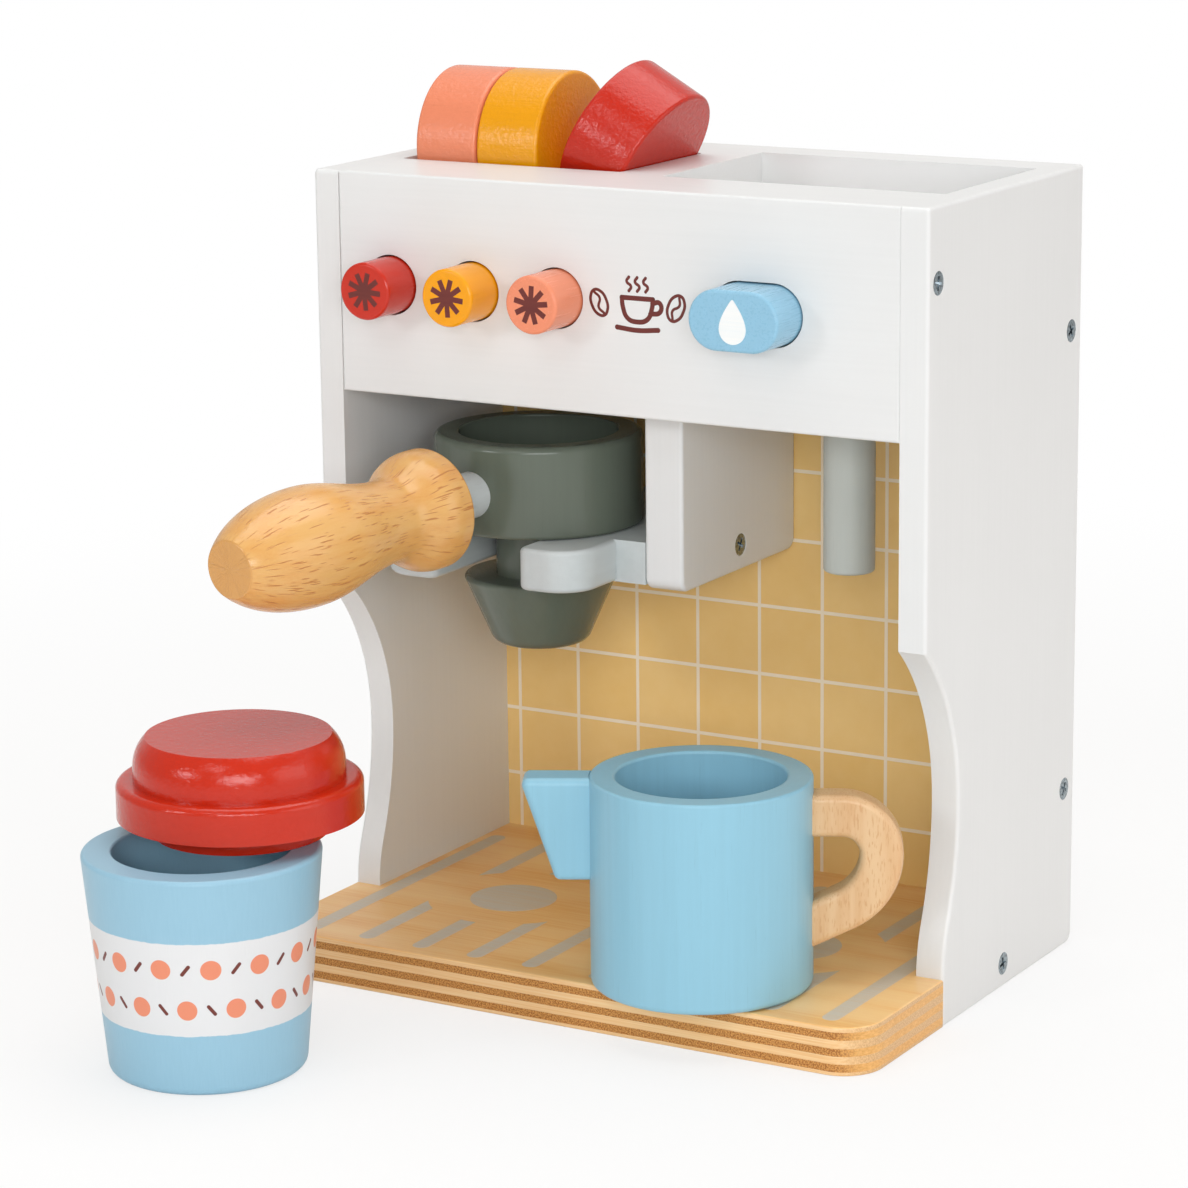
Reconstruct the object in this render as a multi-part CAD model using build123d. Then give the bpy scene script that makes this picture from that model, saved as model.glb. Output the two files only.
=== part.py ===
from build123d import *

import os
from math import asin, atan2, cos, degrees, radians, sin, tan

# Toy coffee maker for pretend play: a cabinet of painted boards on a plywood tray, with
# push buttons, a pull-out portafilter, a water spout, pods, a milk jug and a cup with a lid.
# Frame: +X to the right, +Y to the back, +Z up. The origin is the middle of the base
# board's underside, on the surface that the toy stands on. Lengths are in millimetres.

# ---- Cabinet boards -------------------------------------------------------------------
cabinet_width = 211.0
cabinet_height = 250.0
panel_thickness = 9.0
panel_depth = 110.0
board_edge_radius = 1.2
heel_radius = 3.5
crown_radius = 1.5
throat_top = 119.0
throat_height = 67.7
throat_depth = 23.9
foot_setback = 13.8
foot_curve_radius = 42.5

base_thickness = 15.0
base_reach = 40.0
base_corner_radius = 13.0
base_edge_radius = 0.7

back_thickness = 15.0

fascia_height = 69.0
fascia_thickness = 13.0
fascia_edge_radius = 0.8

deck_thickness = 21.0
deck_floor_thickness = 6.0
deck_floor_gap = 9.8
pod_slot_length = 79.8
pod_slot_width = 52.2
pod_slot_lip = 2.0
pod_slot_back_margin = 9.3
pod_slot_corner_radius = 1.5
recess_left_x = 1.6
recess_setback = 30.0

head_floor_thickness = 9.0
guide_thickness = 9.0

# ---- Partition, fork and water spout --------------------------------------------------
partition_left_x = 0.0
partition_thickness = 13.3
partition_setback = 20.2
partition_drop = 58.0
partition_corner_radius = 4.0

fork_thickness = 13.3
fork_drop = 56.5
fork_setback = 20.4
fork_reach = 24.4
fork_tongue_width = 72.8
fork_slot_width = 30.0
fork_corner_radius = 12.0
fork_slot_corner_radius = 3.5
fork_edge_radius = 1.5

spout_radius = 8.0
spout_drop = 52.4
spout_setback = 51.0
spout_edge_radius = 1.0

# ---- Buttons --------------------------------------------------------------------------
button_pitch = 29.7
button_radius = 8.9
button_hole_clearance = 0.5
button_protrusion = 15.0
button_edge_radius = 1.0
button_travel = 5.0
button_flange_lip = 2.2
button_flange_thickness = 3.0
button_flange_gap = 0.2
button_stem_radius = 4.0
button_stem_clearance = 0.08
button_stem_overhang = 2.0
water_button_x = 49.7
water_button_straight = 11.5
water_button_radius = 9.1
spring_room = 12.0
spring_wire_radius = 0.45
spring_coil_radius = 5.6
spring_turns = 4
spring_wire_side_count = 8
spring_end_gap = 0.1

# ---- Portafilter ----------------------------------------------------------------------
brew_x = -46.7
brew_setback = 35.3
handle_swing = 9.0
handle_droop = 2.2
bowl_radius = 33.0
bowl_height = 29.0
bowl_wall = 7.8
bowl_floor = 10.0
bowl_rim_radius = 2.0
bowl_lip_radius = 0.6
bowl_seat_gap = 0.2
neck_radius = 14.0
neck_drop = 17.0
neck_spigot_radius = 8.0
neck_spigot_length = 6.0
cone_top_radius = 24.7
cone_end_radius = 14.8
cone_height = 22.6
cone_end_rounding = 5.0
handle_dowel_radius = 7.25
handle_dowel_seat = 5.0
handle_dowel_bore = 15.0
handle_start = 52.2
handle_length = 88.1
handle_collar_radius = 18.8
handle_collar_length = 4.6
handle_collar_rounding = 1.5
handle_waist_radius = 12.9
handle_waist_at = 20.5
handle_belly_radius = 18.2
handle_belly_at = 56.0
handle_end_radius = 8.7
handle_end_taper = 0.78
handle_end_rounding = 0.8

# ---- Milk jug -------------------------------------------------------------------------
jug_x = 41.7
jug_y = -55.6
jug_swing = 27.0
jug_radius = 33.5
jug_height = 64.4
jug_wall = 7.8
jug_floor = 9.0
jug_rim_rounding = 0.9
jug_foot_rounding = 2.0
jug_inside_rounding = 5.0
jug_seat_gap = 0.2
jug_spout_thickness = 12.0
jug_spout_reach = 20.6
jug_spout_foot = 10.0
jug_spout_depth = 31.6
jug_spout_drop = 0.1
jug_spout_rounding = 2.2
jug_handle_thickness = 10.6
jug_handle_top = 59.3
jug_handle_reach = 26.8
jug_handle_crown_radius = 18.5
jug_handle_heel_radius = 25.5
jug_handle_tail_angle = 25.3
jug_handle_bar = 13.0
jug_handle_edge_radius = 2.2

# ---- Cup and lid ----------------------------------------------------------------------
cup_x = -71.9
cup_y = -152.0
cup_height = 66.7
cup_rim_radius = 35.4
cup_base_radius = 29.2
cup_wall = 9.0
cup_floor = 9.0
cup_rim_rounding = 1.3
cup_lip_rounding = 0.7
cup_base_rounding = 2.8
cup_inside_rounding = 4.0
lid_shift_x = 0.9
lid_shift_y = 19.0
lid_seat_gap = 0.1
lid_plug_clearance = 0.5
lid_plug_height = 5.8
lid_flange_radius = 36.6
lid_flange_height = 11.1
lid_flange_rounding = 2.2
lid_dome_radius = 31.5
lid_dome_wall = 3.0
lid_dome_height = 12.9
lid_top_radius = 27.6

# ---- Coffee pods ----------------------------------------------------------------------
pod_radius = 24.0
pod_thickness = 22.0
pod_edge_radius = 1.2
pod_gap = 0.4
pod_seat_gap = 0.2
pod_lean = 29.5

# ---- Screws ---------------------------------------------------------------------------
screw_head_radius = 3.7
screw_shank_radius = 1.6
screw_length = 30.0
screw_recess_reach = 2.2
screw_recess_width = 0.9
screw_recess_depth = 1.5
fascia_screw_drop = 22.4
back_screw_drop = 50.6
back_screw_height = 52.4
base_screw_setback = 57.5
fork_screw_setback = 58.0
back_screw_inset = 22.0

# ---- Places that follow from the sizes above -------------------------------------------
half_width = cabinet_width / 2
inner_half = half_width - panel_thickness
base_depth = panel_depth + base_reach
base_front_y = -base_depth / 2
front_y = base_front_y + base_reach
back_y = front_y + panel_depth
back_face_y = back_y - back_thickness
fascia_back_y = front_y + fascia_thickness
fascia_bottom = cabinet_height - fascia_height
deck_bottom = cabinet_height - deck_thickness
deck_floor_bottom = deck_bottom - deck_floor_thickness
head_floor_top = fascia_bottom + head_floor_thickness
partition_right_x = partition_left_x + partition_thickness
partition_bottom = fascia_bottom - partition_drop
fork_bottom = fascia_bottom - fork_drop
fork_top = fork_bottom + fork_thickness
fork_middle = fork_bottom + fork_thickness / 2
fork_front_y = front_y + fork_setback - fork_reach
spout_x = (partition_right_x + inner_half) / 2
spout_y = front_y + spout_setback
spout_end = fascia_bottom - spout_drop
brew_y = front_y + brew_setback
button_z = fascia_bottom + fascia_height / 2
button_row_x = (partition_left_x - inner_half) / 2
button_xs = [button_row_x + step * button_pitch for step in (-1, 0, 1)]
flange_front_y = fascia_back_y + button_flange_gap
flange_back_y = flange_front_y + button_flange_thickness
guide_front_y = flange_back_y + spring_room
guide_back_y = guide_front_y + guide_thickness
slot_left_x = -inner_half + pod_slot_lip
slot_right_x = slot_left_x + pod_slot_length
slot_front_y = back_face_y - pod_slot_back_margin - pod_slot_width
pod_y = slot_front_y + pod_slot_width / 2


def block(x, y, z):
    """A box that fills the given (low, high) spans along X, Y and Z."""
    size = Box(x[1] - x[0], y[1] - y[0], z[1] - z[0])
    return Pos((x[0] + x[1]) / 2, (y[0] + y[1]) / 2, (z[0] + z[1]) / 2) * size


def turned(outline, rounds):
    """Turn a closed (radius, height) outline about Z. rounds maps corner number to radius."""
    face = make_face(Polyline(*outline, close=True))
    for corner, radius in rounds.items():
        point = Vector(*outline[corner], 0)
        nearest = face.vertices().sort_by_distance(point)[0]
        face = fillet(nearest, radius)
    return revolve(Plane.XZ * face, axis=Axis.Z)


# ---- Screws ---------------------------------------------------------------------------
def screw_blank(length):
    """A countersunk screw without its recess, head face at z = 0, pointing down."""
    cone = screw_head_radius - screw_shank_radius
    tip = screw_shank_radius
    outline = [
        (0, 0),
        (screw_head_radius, 0),
        (screw_shank_radius, -cone),
        (screw_shank_radius, tip - length),
        (0, -length),
    ]
    return turned(outline, {})


def screw_recess():
    """The cross recess that a screwdriver fits."""
    arm = Box(2 * screw_recess_reach, screw_recess_width, 2 * screw_recess_depth)
    return arm + Rot(Z=90) * arm


def side_screw_places(side):
    """Where a side panel's four screws start, on its outer face, pointing inwards."""
    spots = [
        (front_y + fascia_thickness / 2, cabinet_height - fascia_screw_drop),
        (back_y - back_thickness / 2, cabinet_height - back_screw_drop),
        (back_y - back_thickness / 2, back_screw_height),
        (front_y + base_screw_setback, base_thickness / 2),
    ]
    return [Pos(side * half_width, y, z) * Rot(Y=side * 90) for y, z in spots]


def fork_screw_places():
    """One screw through the left panel and one through the partition, into the fork."""
    y = front_y + fork_screw_setback
    left = Pos(-half_width, y, fork_middle) * Rot(Y=-90)
    right = Pos(partition_right_x, y, fork_middle) * Rot(Y=90)
    return [left, right]


def back_screw_places():
    """Screws through the back board: two into each floor of the head, one in the partition."""
    partition_middle = partition_left_x + partition_thickness / 2
    spots = [
        (-inner_half + back_screw_inset, fascia_bottom + head_floor_thickness / 2),
        (inner_half - back_screw_inset, fascia_bottom + head_floor_thickness / 2),
        (-inner_half + back_screw_inset, deck_bottom - deck_floor_thickness / 2),
        (inner_half - back_screw_inset, deck_bottom - deck_floor_thickness / 2),
        (partition_middle, partition_bottom + fork_thickness * 2),
    ]
    return [Pos(x, back_y, z) * Rot(X=-90) for x, z in spots]


def screws_at(places):
    """The screws themselves, one solid each."""
    one = screw_blank(screw_length) - screw_recess()
    return [place * one for place in places]


def screw_holes_at(places):
    """What the screws cut out of the boards that they are driven into."""
    one = screw_blank(screw_length)
    return [place * one for place in places]


# ---- Cabinet boards -------------------------------------------------------------------
def side_outline():
    """Side panel outline in (y, z): straight head, hollowed throat, S-curve to the foot."""
    throat_y = front_y + throat_depth
    foot_y = front_y + foot_setback
    rise = throat_top - throat_height
    upper_radius = (throat_depth**2 + rise**2) / (2 * throat_depth)
    upper_angle = degrees(asin(rise / upper_radius))
    drop = throat_height - base_thickness
    shift = throat_depth - foot_setback
    swing = 2 * degrees(atan2(shift, drop))
    lower_radius = drop / sin(radians(swing)) - foot_curve_radius
    upper = CenterArc((throat_y - upper_radius, throat_height), upper_radius, 0, upper_angle)
    lower = CenterArc((throat_y - lower_radius, throat_height), lower_radius, 0, -swing)
    foot_middle = (foot_y + foot_curve_radius, base_thickness)
    foot = CenterArc(foot_middle, foot_curve_radius, 180, -swing)
    corners = Polyline(
        (foot_y, base_thickness),
        (foot_y, 0),
        (back_y, 0),
        (back_y, cabinet_height),
        (front_y, cabinet_height),
        (front_y, throat_top),
    )
    return make_face([upper, lower, foot, corners])


def side_panel(side):
    """One side panel with its screw holes; side is -1 for the left and 1 for the right."""
    blank = extrude(Plane.YZ * side_outline(), amount=panel_thickness)
    back_corners = blank.edges().filter_by(Axis.X).group_by(Axis.Y)[-1].sort_by(Axis.Z)
    blank = fillet(back_corners[0], heel_radius)
    blank = fillet(blank.edges().filter_by(Axis.X).sort_by(Axis.Z)[-1], crown_radius)
    outer_face = blank.faces().sort_by(Axis.X)[-1 if side > 0 else 0]
    blank = fillet(outer_face.edges(), board_edge_radius)
    panel = Pos(inner_half if side > 0 else -half_width, 0, 0) * blank
    holes = screw_holes_at(side_screw_places(side))
    if side < 0:
        holes.append(screw_holes_at(fork_screw_places())[0])
    for hole in holes:
        panel = panel - hole
    return panel


def base_board():
    """Plywood base: rounded tray in front, and a tongue between the side panels."""
    foot_y = front_y + foot_setback
    tray = block((-half_width, half_width), (base_front_y, foot_y), (0, base_thickness))
    front_corners = tray.edges().filter_by(Axis.Z).group_by(Axis.Y)[0]
    tray = fillet(front_corners, base_corner_radius)
    outer_rims = tray.faces().filter_by(Axis.Z).edges().group_by(Axis.Y)[:-1]
    tray = fillet([edge for group in outer_rims for edge in group], base_edge_radius)
    tongue = block((-inner_half, inner_half), (foot_y, back_y), (0, base_thickness))
    board = tray + tongue
    for side in (-1, 1):
        for hole in screw_holes_at(side_screw_places(side)[3:]):
            board = board - hole
    return board


def back_panel():
    """Board that closes the back, standing on the base between the side panels."""
    board = block((-inner_half, inner_half), (back_face_y, back_y), (base_thickness, cabinet_height))
    places = side_screw_places(-1)[1:3] + side_screw_places(1)[1:3] + back_screw_places()
    for hole in screw_holes_at(places):
        board = board - hole
    return board


def button_openings():
    """The three round holes and the long hole that the buttons pass through."""
    depth = 3 * fascia_thickness
    across = Pos(0, front_y, button_z) * Rot(X=90)
    round_hole = Cylinder(button_radius + button_hole_clearance, depth)
    cuts = [Pos(x, 0, 0) * across * round_hole for x in button_xs]
    long_hole = long_block(water_button_radius + button_hole_clearance, depth)
    cuts.append(Pos(water_button_x, 0, 0) * across * Pos(0, 0, -depth / 2) * long_hole)
    return cuts


def long_block(radius, length):
    """A bar with round ends that lies along X, as the water button has."""
    return extrude(SlotCenterToCenter(water_button_straight, 2 * radius), amount=length)


def front_fascia():
    """Board across the front of the head, with the button holes."""
    board = block((-inner_half, inner_half), (front_y, fascia_back_y), (fascia_bottom, cabinet_height))
    board = fillet(board.faces().sort_by(Axis.Y)[0].edges(), fascia_edge_radius)
    for cut in button_openings():
        board = board - cut
    for side in (-1, 1):
        for hole in screw_holes_at(side_screw_places(side)[:1]):
            board = board - hole
    return board


def top_deck():
    """Thick top board with the pod slot, and cut away for the storage recess."""
    deck = block((-inner_half, inner_half), (fascia_back_y, back_face_y), (deck_bottom, cabinet_height))
    slot = block(
        (slot_left_x, slot_right_x),
        (slot_front_y, slot_front_y + pod_slot_width),
        (deck_bottom, cabinet_height),
    )
    slot = fillet(slot.edges().filter_by(Axis.Z), pod_slot_corner_radius)
    recess = block(
        (recess_left_x, inner_half),
        (front_y + recess_setback, back_face_y),
        (deck_bottom, cabinet_height),
    )
    return deck - slot - recess


def deck_floor():
    """Thin floor under the deck that the pods and stored things stand on."""
    start_y = flange_back_y + deck_floor_gap
    floor = block((-inner_half, inner_half), (start_y, back_face_y), (deck_floor_bottom, deck_bottom))
    for hole in screw_holes_at(back_screw_places()[2:4]):
        floor = floor - hole
    return floor


def head_floor():
    """Board that closes the head from below; the spout is glued into it."""
    floor = block((-inner_half, inner_half), (fascia_back_y, back_face_y), (fascia_bottom, head_floor_top))
    bore = Pos(spout_x, spout_y, fascia_bottom + head_floor_thickness / 2)
    floor = floor - bore * Cylinder(spout_radius, head_floor_thickness)
    for hole in screw_holes_at(back_screw_places()[:2]):
        floor = floor - hole
    return floor


def guide_board():
    """Inner board with the bores that the button stems slide in."""
    board = block((-inner_half, inner_half), (guide_front_y, guide_back_y), (head_floor_top, deck_floor_bottom))
    middle_y = (guide_front_y + guide_back_y) / 2
    bore = Rot(X=90) * Cylinder(button_stem_radius + button_stem_clearance, guide_thickness)
    for x in button_xs + [water_button_x]:
        board = board - Pos(x, middle_y, button_z) * bore
    return board


# ---- Partition, fork and water spout --------------------------------------------------
def group_partition():
    """Divider that hangs from the head between the portafilter and the water spout."""
    board = block(
        (partition_left_x, partition_right_x),
        (front_y + partition_setback, back_face_y),
        (partition_bottom, fascia_bottom),
    )
    low_corners = board.edges().filter_by(Axis.X).group_by(Axis.Z)[0]
    board = fillet(low_corners, partition_corner_radius)
    front_edges = board.edges().filter_by(Axis.Z).group_by(Axis.Y)[0]
    board = fillet(front_edges, board_edge_radius)
    for hole in screw_holes_at(fork_screw_places()[1:] + back_screw_places()[4:]):
        board = board - hole
    return board


def portafilter_fork():
    """Fork board: full width at the back, with a slotted tongue that reaches forward."""
    tongue_half = fork_tongue_width / 2
    slot_half = fork_slot_width / 2
    shelf_y = front_y + fork_setback
    shelf = block((-inner_half, partition_left_x), (shelf_y, back_face_y), (fork_bottom, fork_top))
    tongue = block(
        (brew_x - tongue_half, brew_x + tongue_half),
        (fork_front_y, shelf_y),
        (fork_bottom, fork_top),
    )
    outer_corners = tongue.edges().filter_by(Axis.Z).group_by(Axis.Y)[0]
    tongue = fillet(outer_corners, fork_corner_radius)
    slot = block(
        (brew_x - slot_half, brew_x + slot_half),
        (fork_front_y - fork_reach, brew_y),
        (fork_bottom, fork_top),
    )
    slot_end = Pos(brew_x, brew_y, fork_middle) * Cylinder(slot_half, fork_thickness)
    board = shelf + tongue - slot - slot_end
    mouth = board.edges().filter_by(Axis.Z).filter_by_position(Axis.Y, fork_front_y - 0.1, fork_front_y + 0.1)
    mouth = mouth.filter_by_position(Axis.X, brew_x - slot_half - 0.1, brew_x + slot_half + 0.1)
    board = fillet(mouth, fork_slot_corner_radius)
    rims = board.faces().filter_by(Axis.Z).edges()
    ahead = rims.filter_by_position(Axis.Y, fork_front_y - 1, shelf_y - 0.1)
    round_slot = rims.filter_by_position(Axis.X, brew_x - slot_half - 1, brew_x + slot_half + 1)
    round_slot = round_slot.filter_by_position(Axis.Y, shelf_y - fork_reach, brew_y + slot_half + 1)
    board = fillet(list(dict.fromkeys(ahead + round_slot)), fork_edge_radius)
    for hole in screw_holes_at(fork_screw_places()):
        board = board - hole
    return board


def water_spout():
    """Dowel that hangs from the head floor over the tray."""
    length = head_floor_top - spout_end
    dowel = Pos(spout_x, spout_y, spout_end + length / 2) * Cylinder(spout_radius, length)
    return fillet(dowel.edges().sort_by(Axis.Z)[0], spout_edge_radius)


# ---- Buttons --------------------------------------------------------------------------
def button_stem():
    """Stem from the flange through the guide board, along +Y from y = 0."""
    length = guide_back_y + button_stem_overhang - flange_back_y
    return Rot(X=-90) * Pos(0, 0, length / 2) * Cylinder(button_stem_radius, length)


def round_button(x):
    """A turned round button: domed-edge head, flange behind the fascia, and stem."""
    head_length = button_protrusion + flange_front_y - front_y
    flange_radius = button_radius + button_flange_lip
    outline = [
        (0, 0),
        (button_radius, 0),
        (button_radius, head_length),
        (flange_radius, head_length),
        (flange_radius, head_length + button_flange_thickness),
        (0, head_length + button_flange_thickness),
    ]
    body = turned(outline, {1: button_edge_radius})
    head = Pos(x, front_y - button_protrusion, button_z) * Rot(X=-90) * body
    return head + Pos(x, flange_back_y, button_z) * button_stem()


def water_button():
    """The long button, with a flange of the same form and one stem."""
    head_length = button_protrusion + flange_front_y - front_y
    head = long_block(water_button_radius, head_length)
    head = fillet(head.faces().sort_by(Axis.Z)[0].edges(), button_edge_radius)
    flange = Pos(0, 0, head_length) * long_block(
        water_button_radius + button_flange_lip, button_flange_thickness
    )
    body = Pos(water_button_x, front_y - button_protrusion, button_z) * Rot(X=-90) * (head + flange)
    return body + Pos(water_button_x, flange_back_y, button_z) * button_stem()


def return_spring(x):
    """Coil spring round a stem, between the flange and the guide board, of wire with flats."""
    height = spring_room - 2 * (spring_end_gap + spring_wire_radius)
    coil = Helix(height / spring_turns, height, spring_coil_radius)
    section = RegularPolygon(spring_wire_radius, spring_wire_side_count)
    wire = sweep((coil ^ 0) * section, path=coil)
    start_y = flange_back_y + spring_end_gap + spring_wire_radius
    return Pos(x, start_y, button_z) * Rot(X=-90) * wire


# ---- Portafilter ----------------------------------------------------------------------
bowl_bottom = fork_top + bowl_seat_gap
handle_z = bowl_bottom + bowl_height / 2


def along_handle(solid):
    """Place a solid made along +Z from the bowl's axis so that it points out along the handle."""
    return Pos(brew_x, brew_y, handle_z) * Rot(Z=-handle_swing) * Rot(X=90 + handle_droop) * solid


def handle_dowel_at(length):
    """The dowel's own length of cylinder, starting in the bowl's wall."""
    start = bowl_radius - handle_dowel_seat
    return along_handle(Pos(0, 0, start + length / 2) * Cylinder(handle_dowel_radius, length))


def handle_dowel():
    """Dowel that joins the bowl and the handle."""
    return handle_dowel_at(handle_start + handle_dowel_bore - bowl_radius + handle_dowel_seat)


def portafilter_bowl():
    """Turned bowl with a rounded rim, a blind socket below and a socket for the dowel."""
    inner = bowl_radius - bowl_wall
    outline = [
        (neck_spigot_radius, 0),
        (bowl_radius, 0),
        (bowl_radius, bowl_height),
        (inner, bowl_height),
        (inner, bowl_floor),
        (0, bowl_floor),
        (0, neck_spigot_length),
        (neck_spigot_radius, neck_spigot_length),
    ]
    rounds = {1: board_edge_radius, 2: bowl_rim_radius, 3: bowl_lip_radius, 4: bowl_rim_radius}
    return Pos(brew_x, brew_y, bowl_bottom) * turned(outline, rounds) - handle_dowel()


def portafilter_cone():
    """Outlet cone under the fork, with the neck that passes through the fork's slot."""
    outline = [
        (0, -neck_drop - cone_height),
        (cone_end_radius, -neck_drop - cone_height),
        (cone_top_radius, -neck_drop),
        (neck_radius, -neck_drop),
        (neck_radius, 0),
        (neck_spigot_radius, 0),
        (neck_spigot_radius, neck_spigot_length),
        (0, neck_spigot_length),
    ]
    rounds = {1: cone_end_rounding, 2: board_edge_radius}
    return Pos(brew_x, brew_y, bowl_bottom) * turned(outline, rounds)


def portafilter_handle():
    """Turned handle: drum-like collar, waist, full belly and a small flat end."""
    start = handle_start
    end = handle_start + handle_length
    side = Spline(
        (handle_collar_radius, start + handle_collar_length),
        (handle_waist_radius, start + handle_waist_at),
        (handle_belly_radius, start + handle_belly_at),
        (handle_end_radius, end),
        tangents=[(0, 1), (0, 1), (0, 1), (-handle_end_taper, 1)],
    )
    ends = Polyline(side @ 1, (0, end), (0, start), (handle_collar_radius, start), side @ 0)
    face = make_face([side, ends])
    face = fillet(face.vertices().sort_by_distance(Vector(*(side @ 1)))[0], handle_end_rounding)
    back_edge = Vector(handle_collar_radius, start, 0)
    face = fillet(face.vertices().sort_by_distance(back_edge)[0], handle_collar_rounding)
    return along_handle(revolve(Plane.XZ * face, axis=Axis.Z)) - handle_dowel()


# ---- Milk jug -------------------------------------------------------------------------
jug_bottom = base_thickness + jug_seat_gap


def place_jug(solid):
    """Jug parts are made with the spout along -X and the foot at z = 0, then turned and set down."""
    return Pos(jug_x, jug_y, jug_bottom) * Rot(Z=jug_swing) * solid


def jug_body():
    """Turned beaker with a thick wall."""
    inner = jug_radius - jug_wall
    outline = [
        (0, 0),
        (jug_radius, 0),
        (jug_radius, jug_height),
        (inner, jug_height),
        (inner, jug_floor),
        (0, jug_floor),
    ]
    rounds = {
        1: jug_foot_rounding,
        2: jug_rim_rounding,
        3: jug_rim_rounding,
        4: jug_inside_rounding,
    }
    return place_jug(turned(outline, rounds))


def jug_barrel():
    """The jug's outer wall as a solid, to shape what is glued to it."""
    return Pos(0, 0, jug_height / 2) * Cylinder(jug_radius, 2 * jug_height)


def jug_spout():
    """Wedge-shaped pouring lip glued to the wall."""
    top = jug_height - jug_spout_drop
    foot = top - jug_spout_depth
    outline = Polyline(
        (0, top),
        (-jug_radius - jug_spout_reach, top),
        (-jug_radius - jug_spout_foot, foot),
        (0, foot),
        close=True,
    )
    wedge = extrude(Plane.XZ * make_face(outline), amount=jug_spout_thickness / 2, both=True)
    crossing = wedge.edges().filter_by(Axis.Y).group_by(Axis.X)
    wedge = fillet(crossing[0] + crossing[1], jug_spout_rounding)
    rims = wedge.faces().sort_by(Axis.Z)[-1].edges().filter_by(Axis.X)
    wedge = fillet(rims, jug_spout_rounding)
    return place_jug(wedge - jug_barrel())


def handle_loop(inset):
    """The ear shape in (x, z), drawn in from its outer edge by inset."""
    crown_radius = jug_handle_crown_radius - inset
    heel_radius = jug_handle_heel_radius - inset
    middle_z = jug_handle_top - jug_handle_crown_radius
    tip_x = jug_radius + jug_handle_reach
    crown = CenterArc((tip_x - jug_handle_crown_radius, middle_z), crown_radius, 0, 90)
    heel_arc = 90 - jug_handle_tail_angle
    heel = CenterArc((tip_x - jug_handle_heel_radius, middle_z), heel_radius, 0, -heel_arc)
    top = crown @ 1
    tail = heel @ 1
    tail_drop = (tail.X - jug_radius / 2) * tan(radians(jug_handle_tail_angle))
    inside = Polyline(top, (jug_radius / 2, top.Y), (jug_radius / 2, tail.Y - tail_drop), tail)
    return make_face([crown, heel, inside])


def jug_handle():
    """Ear-shaped wooden handle, cut to sit on the jug's round wall."""
    outer = extrude(Plane.XZ * handle_loop(0), amount=jug_handle_thickness / 2, both=True)
    inner = extrude(Plane.XZ * handle_loop(jug_handle_bar), amount=jug_handle_thickness, both=True)
    ear = outer - inner
    flat_faces = ear.faces().filter_by(Axis.Y)
    ear = fillet(flat_faces.edges(), jug_handle_edge_radius)
    return place_jug(ear - jug_barrel())


# ---- Cup and lid ----------------------------------------------------------------------
def cup():
    """Tapered take-away cup with a thick wall, standing beside the machine."""
    inner_rim = cup_rim_radius - cup_wall
    taper = (cup_rim_radius - cup_base_radius) / cup_height
    inner_foot = inner_rim - taper * (cup_height - cup_floor)
    outline = [
        (0, 0),
        (cup_base_radius, 0),
        (cup_rim_radius, cup_height),
        (inner_rim, cup_height),
        (inner_foot, cup_floor),
        (0, cup_floor),
    ]
    rounds = {
        1: cup_base_rounding,
        2: cup_rim_rounding,
        3: cup_lip_rounding,
        4: cup_inside_rounding,
    }
    return Pos(cup_x, cup_y, 0) * turned(outline, rounds)


def cup_lid():
    """Turned lid: plug, wide flange and a dome with a flat top, laid askew on the rim."""
    plug_radius = cup_rim_radius - cup_wall - lid_plug_clearance
    flange_top = lid_plug_height + lid_flange_height
    dome_top = flange_top + lid_dome_height
    shoulder = flange_top + lid_dome_wall
    lower = Polyline(
        (0, dome_top),
        (0, 0),
        (plug_radius, 0),
        (plug_radius, lid_plug_height),
        (lid_flange_radius, lid_plug_height),
        (lid_flange_radius, flange_top - lid_flange_rounding),
    )
    turn = lid_flange_rounding * (1 - cos(radians(45)))
    edge = ThreePointArc(
        (lid_flange_radius, flange_top - lid_flange_rounding),
        (lid_flange_radius - turn, flange_top - turn),
        (lid_flange_radius - lid_flange_rounding, flange_top),
    )
    ledge = Polyline(
        (lid_flange_radius - lid_flange_rounding, flange_top),
        (lid_dome_radius, flange_top),
        (lid_dome_radius, shoulder),
    )
    dome = Spline(
        (lid_dome_radius, shoulder),
        (lid_top_radius, dome_top),
        tangents=[(0, 1), (-1, 1)],
    )
    roof = Line((lid_top_radius, dome_top), (0, dome_top))
    face = make_face([lower, edge, ledge, dome, roof])
    lid = revolve(Plane.XZ * face, axis=Axis.Z)
    return Pos(cup_x + lid_shift_x, cup_y + lid_shift_y, cup_height + lid_seat_gap) * lid


# ---- Coffee pods ----------------------------------------------------------------------
def pod():
    """A thick disc on its side, its axis along X and its middle at the origin."""
    disc = Cylinder(pod_radius, pod_thickness)
    disc = fillet(disc.edges().filter_by(GeomType.CIRCLE), pod_edge_radius)
    return Rot(Y=90) * disc


def leaning_pod_place():
    """The last pod stands with one rim on the slot's floor and its face against the slot's end."""
    lean = radians(pod_lean)
    foot_x = slot_right_x - deck_thickness * tan(lean) - pod_seat_gap / cos(lean)
    middle_x = foot_x + pod_radius * sin(lean) - pod_thickness / 2 * cos(lean)
    middle_z = pod_radius * cos(lean) + pod_thickness / 2 * sin(lean)
    return middle_x, deck_bottom + pod_seat_gap + middle_z


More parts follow.
